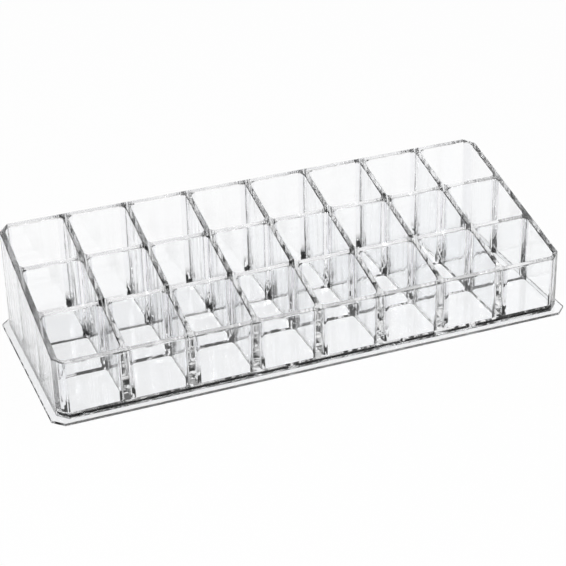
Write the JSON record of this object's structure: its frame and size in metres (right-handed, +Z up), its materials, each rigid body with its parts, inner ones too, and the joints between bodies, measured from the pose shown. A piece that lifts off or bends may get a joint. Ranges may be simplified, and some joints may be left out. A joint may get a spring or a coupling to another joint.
{
  "type": "vanity organizer",
  "caption": "Clear desktop organizer: a grid of open square cells under one sloping top, on a flanged base plate, for standing lipsticks and brushes upright.",
  "frame": {"origin": "on the table, under the middle of the base plate", "axes": "+X along the long side, +Y from the low front to the high back, +Z up"},
  "size_m": [0.224, 0.0902, 0.0465],
  "materials": {
    "clear_plastic": "clear, polished, faintly cool in tint"
  },
  "bodies": {
    "root": {"base_plate": "clear_plastic", "front_wall": "clear_plastic", "back_wall": "clear_plastic", "left_side": "clear_plastic", "right_side": "clear_plastic", "row_divider_1": "clear_plastic", "row_divider_2": "clear_plastic", "column_divider_1": "clear_plastic", "column_divider_2": "clear_plastic", "column_divider_3": "clear_plastic", "column_divider_4": "clear_plastic", "column_divider_5": "clear_plastic", "column_divider_6": "clear_plastic", "column_divider_7": "clear_plastic"}
  },
  "joints": []
}
